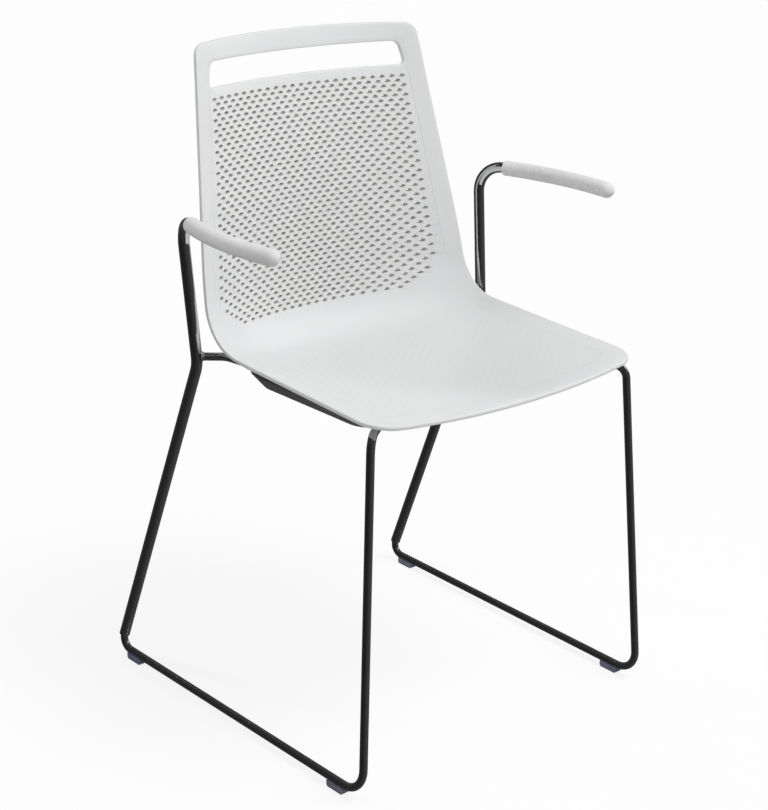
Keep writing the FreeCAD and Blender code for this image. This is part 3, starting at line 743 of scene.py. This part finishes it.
def surface_lines(nodes, links, across, along):
    """Depth of the fine lines that frame the back and the seat fields."""
    slope = math.tan(math.radians(SIDE_TAPER))
    edge = maths(nodes, links, "MULTIPLY", along, slope)
    edge = maths(nodes, links, "ADD", edge, (TOP_HALF_WIDTH - LINE_SIDE_INSET) * MM)
    side = maths(nodes, links, "SUBTRACT", maths(nodes, links, "ABSOLUTE", across), edge)
    back = groove(nodes, links, side, LINE_WIDTH * MM)
    begin = fade(nodes, links, along, LINE_TOP * MM, (LINE_TOP + LINE_FADE) * MM)
    back = maths(nodes, links, "MULTIPLY", back, begin)
    tail = fade(nodes, links, along, (LINE_END - 8) * MM, LINE_END * MM)
    back = maths(nodes, links, "MULTIPLY", back, maths(nodes, links, "SUBTRACT", 1.0, tail))
    seat = groove(nodes, links, field_distance(nodes, links, across, along), LINE_WIDTH * MM)
    begin = fade(nodes, links, along, SEAT_LINE_START * MM, SEAT_LINE_FULL * MM)
    seat = maths(nodes, links, "MULTIPLY", seat, begin)
    return maths(nodes, links, "MAXIMUM", back, seat)


def seat_dimples(nodes, links, across, along):
    """Depth of shallow staggered ovals that carry on the holes' pattern."""
    pitch = 2 * HALF_PITCH * DIMPLE_SPREAD
    rows = maths(nodes, links, "SUBTRACT", along, FIRST_ROW * MM)
    rows = maths(nodes, links, "DIVIDE", rows, ROW_PITCH * MM)
    row = maths(nodes, links, "ROUND", rows)
    odd = maths(nodes, links, "PINGPONG", row, 1.0)
    columns = maths(nodes, links, "DIVIDE", across, pitch * MM)
    columns = maths(nodes, links, "ADD", columns, maths(nodes, links, "MULTIPLY", odd, 0.5))
    off_x = maths(nodes, links, "SUBTRACT", columns, maths(nodes, links, "ROUND", columns))
    off_x = maths(nodes, links, "MULTIPLY", off_x, 2 * pitch / HOLE_LONG)
    off_y = maths(nodes, links, "SUBTRACT", rows, row)
    off_y = maths(nodes, links, "MULTIPLY", off_y, 2 * ROW_PITCH / HOLE_HIGH)
    far = maths(nodes, links, "ADD", maths(nodes, links, "MULTIPLY", off_x, off_x),
                maths(nodes, links, "MULTIPLY", off_y, off_y))
    dish = maths(nodes, links, "SUBTRACT", 1.0, fade(nodes, links, far, 0.4, 1.2))
    begin = fade(nodes, links, along, DIMPLE_START * MM, DIMPLE_FULL * MM)
    inner = field_distance(nodes, links, across, along)
    inside = maths(nodes, links, "LESS_THAN", inner, -DIMPLE_BORDER * MM)
    return maths(nodes, links, "MULTIPLY", dish, maths(nodes, links, "MULTIPLY", begin, inside))


def shell_plastic():
    """Off-white satin plastic, with the seat's dimples as relief."""
    material, nodes, links, shader = new_material("shell_plastic")
    space = colour_noise(nodes, links, shader, (0.715, 0.72, 0.725), (0.745, 0.75, 0.755), 5.0)
    roughness_noise(nodes, links, shader, space, 0.36, 0.44, 20.0)
    shader.inputs["Specular IOR Level"].default_value = 0.4
    base = grain(nodes, links, space, 1200.0, 0.12, 0.0001)
    across, along = flat_place(nodes, links)
    dimples = seat_dimples(nodes, links, across, along)
    dimples = maths(nodes, links, "MULTIPLY", dimples, DIMPLE_SHARE)
    lines = surface_lines(nodes, links, across, along)
    lines = maths(nodes, links, "MULTIPLY", lines, LINE_SHARE)
    depth = maths(nodes, links, "MAXIMUM", dimples, lines)
    relief = nodes.new("ShaderNodeBump")
    relief.invert = True
    relief.inputs["Strength"].default_value = 1.0
    relief.inputs["Distance"].default_value = RELIEF_DEPTH * MM
    links.new(depth, relief.inputs["Height"])
    links.new(base.outputs["Normal"], relief.inputs["Normal"])
    links.new(relief.outputs["Normal"], shader.inputs["Normal"])
    return material


def smoky_plastic():
    material, nodes, links, shader = new_material("glide_plastic")
    space = colour_noise(nodes, links, shader, (0.19, 0.20, 0.27), (0.26, 0.27, 0.35), 60.0)
    roughness_noise(nodes, links, shader, space, 0.12, 0.22, 40.0)
    shader.inputs["Transmission Weight"].default_value = 0.25
    bump = grain(nodes, links, space, 500.0, 0.1)
    links.new(bump.outputs["Normal"], shader.inputs["Normal"])
    return material


def ribbed_rubber():
    """Light grey grip rubber with a fine grain; the rings are in the sleeve mesh."""
    material, nodes, links, shader = new_material("grip_rubber")
    space = colour_noise(nodes, links, shader, (0.70, 0.70, 0.705), (0.74, 0.74, 0.745), 14.0)
    roughness_noise(nodes, links, shader, space, 0.5, 0.6, 30.0)
    bump = grain(nodes, links, space, 900.0, 0.3)
    links.new(bump.outputs["Normal"], shader.inputs["Normal"])
    return material


CHROME = metal("chrome_plate", (0.62, 0.62, 0.63), 0.06)
MATERIALS = {
    # Under-seat cover: grey plastic, darkened further by painted shade from under the seat.
    "cover": plastic("cover_plastic_painted_shade", (0.10, 0.098, 0.096), (0.125, 0.122, 0.12), 0.5),
    "chrome": CHROME,
    "rail": plastic("rail_paint", (0.02, 0.02, 0.02), (0.03, 0.03, 0.03), 0.45, 400.0, 0.3),
    "grip": ribbed_rubber(),
    "plug": plastic("plug_plastic", (0.04, 0.04, 0.04), (0.06, 0.06, 0.06), 0.5),
    "glide": smoky_plastic(),
    "fastener": metal("zinc_plate", (0.55, 0.55, 0.56), 0.3, 500.0, 0.1),
    "weld": metal("weld_chrome", (0.55, 0.55, 0.56), 0.2, 700.0, 0.5),
}
SLOT_OF = {part["node"]: part["material_slot"] for part in frame["record"]["subparts"]}
for node, shape in frame["nodes"].items():
    if node in ("seat_shell", "arm_sleeve_left", "arm_sleeve_right"):
        continue
    shape.data.materials.clear()
    shape.data.materials.append(MATERIALS[SLOT_OF[node]])

shell = bpy.data.objects.new("shell_moulding", shell_mesh())
bpy.context.scene.collection.objects.link(shell)
shell.data.materials.append(shell_plastic())
# Hole walls: the darker, green-tinted grey is painted shade deep in the holes.
shell.data.materials.append(plastic("hole_wall_painted_shade", (0.52, 0.52, 0.475), (0.57, 0.57, 0.52), 0.6))
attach(shell, "root")
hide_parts("seat_shell")

for hand, side in (("left", 1), ("right", -1)):
    sleeve = bpy.data.objects.new("ribbed_sleeve_" + hand, sleeve_mesh(side))
    bpy.context.scene.collection.objects.link(sleeve)
    sleeve.data.materials.append(MATERIALS["grip"])
    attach(sleeve, "root")
    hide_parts("arm_sleeve_" + hand)


# Stage, light and camera

WHITE = 0.985
FLOOR_SIZE = 16.0
SHADOW_START = 0.30
SHADOW_END = 0.95
SHADOW_SHARE = 0.85
FILL = 0.42
AIM = (0, 0, 0.5)

# The photograph's camera, found from the chair: pixels, degrees, metres.
FRAME_HEIGHT = 810.0
FOCAL_PIXELS = 1811.0
CAMERA_YAW = -41.14
CAMERA_PITCH = 19.90
CAMERA_ROLL = 0.97
CAMERA_PLACE = (-1.428, -1.639 + SHIFT_Y * MM, 1.1596)
SENSOR = 36.0


def make_floor():
    """Floor that the camera sees as white, with the chair's soft shadow."""
    bpy.ops.mesh.primitive_plane_add(size=FLOOR_SIZE, location=(0, 0, 0))
    floor = bpy.context.object
    floor.name = "studio_floor"
    material, nodes, links, shader = new_material("studio_floor")
    shader.inputs["Roughness"].default_value = 0.9
    shader.inputs["Specular IOR Level"].default_value = 0.0
    path = nodes.new("ShaderNodeLightPath")
    pale = nodes.new("ShaderNodeMix")
    pale.data_type = "RGBA"
    pale.inputs["A"].default_value = (0.5, 0.5, 0.5, 1)
    pale.inputs["B"].default_value = (0.95, 0.95, 0.95, 1)
    links.new(path.outputs["Is Camera Ray"], pale.inputs["Factor"])
    links.new(pale.outputs["Result"], shader.inputs["Base Color"])
    space = nodes.new("ShaderNodeTexCoord")
    reach = nodes.new("ShaderNodeVectorMath")
    reach.operation = "LENGTH"
    links.new(space.outputs["Object"], reach.inputs[0])
    share = nodes.new("ShaderNodeMapRange")
    share.interpolation_type = "SMOOTHSTEP"
    share.inputs["From Min"].default_value = SHADOW_START
    share.inputs["From Max"].default_value = SHADOW_END
    share.inputs["To Min"].default_value = SHADOW_SHARE
    share.inputs["To Max"].default_value = 1.0
    links.new(reach.outputs["Value"], share.inputs["Value"])
    seen = maths(nodes, links, "MULTIPLY", path.outputs["Is Camera Ray"], share.outputs["Result"])
    white = nodes.new("ShaderNodeEmission")
    white.inputs["Color"].default_value = (1, 1, 1, 1)
    white.inputs["Strength"].default_value = WHITE
    mix = nodes.new("ShaderNodeMixShader")
    links.new(seen, mix.inputs["Fac"])
    links.new(shader.outputs["BSDF"], mix.inputs[1])
    links.new(white.outputs["Emission"], mix.inputs[2])
    links.new(mix.outputs["Shader"], nodes["Material Output"].inputs["Surface"])
    floor.data.materials.append(material)
    floor.visible_glossy = False


def area_light(name, place, aim, size, power):
    data = bpy.data.lights.new(name, "AREA")
    data.shape = "RECTANGLE"
    data.size, data.size_y = size
    data.energy = power
    light = bpy.data.objects.new(name, data)
    light.location = place
    light.rotation_mode = "QUATERNION"
    light.rotation_quaternion = (Vector(aim) - Vector(place)).to_track_quat("-Z", "Y")
    bpy.context.scene.collection.objects.link(light)
    return light


def make_world():
    """White for the camera, dim for reflections, soft for the fill light."""
    world = bpy.data.worlds.new("studio")
    bpy.context.scene.world = world
    world.use_nodes = True
    nodes, links = world.node_tree.nodes, world.node_tree.links
    nodes.clear()
    out = nodes.new("ShaderNodeOutputWorld")
    path = nodes.new("ShaderNodeLightPath")
    fill = nodes.new("ShaderNodeBackground")
    fill.inputs["Color"].default_value = (1, 1, 1, 1)
    fill.inputs["Strength"].default_value = FILL
    seen = nodes.new("ShaderNodeBackground")
    seen.inputs["Color"].default_value = (1, 1, 1, 1)
    seen.inputs["Strength"].default_value = WHITE
    dark = nodes.new("ShaderNodeBackground")
    way = nodes.new("ShaderNodeTexCoord")
    split = nodes.new("ShaderNodeSeparateXYZ")
    links.new(way.outputs["Generated"], split.inputs["Vector"])
    side = nodes.new("ShaderNodeMapRange")
    side.inputs["From Min"].default_value = -1.0
    side.inputs["To Min"].default_value = 0.018
    side.inputs["To Max"].default_value = 0.09
    links.new(split.outputs["X"], side.inputs["Value"])
    dark.inputs["Color"].default_value = (1, 1, 1, 1)
    links.new(side.outputs["Result"], dark.inputs["Strength"])
    glossy = nodes.new("ShaderNodeMixShader")
    links.new(path.outputs["Is Glossy Ray"], glossy.inputs["Fac"])
    links.new(fill.outputs["Background"], glossy.inputs[1])
    links.new(dark.outputs["Background"], glossy.inputs[2])
    camera = nodes.new("ShaderNodeMixShader")
    links.new(path.outputs["Is Camera Ray"], camera.inputs["Fac"])
    links.new(glossy.outputs["Shader"], camera.inputs[1])
    links.new(seen.outputs["Background"], camera.inputs[2])
    links.new(camera.outputs["Shader"], out.inputs["Surface"])


def make_camera():
    data = bpy.data.cameras.new("photo_camera")
    data.sensor_fit = "AUTO"
    data.sensor_width = SENSOR
    data.lens = SENSOR * FOCAL_PIXELS / FRAME_HEIGHT
    camera = bpy.data.objects.new("photo_camera", data)
    bpy.context.scene.collection.objects.link(camera)
    yaw, pitch, roll = (math.radians(a) for a in (CAMERA_YAW, CAMERA_PITCH, CAMERA_ROLL))
    camera.location = CAMERA_PLACE
    forward = Vector((-math.sin(yaw) * math.cos(pitch), math.cos(yaw) * math.cos(pitch), -math.sin(pitch)))
    level = Vector((math.cos(yaw), math.sin(yaw), 0))
    up = level.cross(forward)
    right = level * math.cos(roll) + up * math.sin(roll)
    above = up * math.cos(roll) - level * math.sin(roll)
    basis = Matrix((right, above, -forward)).transposed()
    camera.rotation_mode = "QUATERNION"
    camera.rotation_quaternion = basis.to_quaternion()
    bpy.context.scene.camera = camera


make_floor()
make_world()
for name, place, size, power, glossy in (
    ("key", (1.0, -1.9, 3.8), (1.6, 1.6), 100, False),
    ("side", (3.0, -1.0, 1.8), (0.5, 2.2), 12, True),
    ("rear", (-1.5, 2.6, 2.2), (0.5, 2.0), 30, False),
    ("front", (-2.2, -2.6, 1.5), (1.8, 1.8), 14, False),
):
    area_light(name, place, AIM, size, power).visible_glossy = glossy
make_camera()

scene = bpy.context.scene
scene.view_settings.view_transform = "Standard"
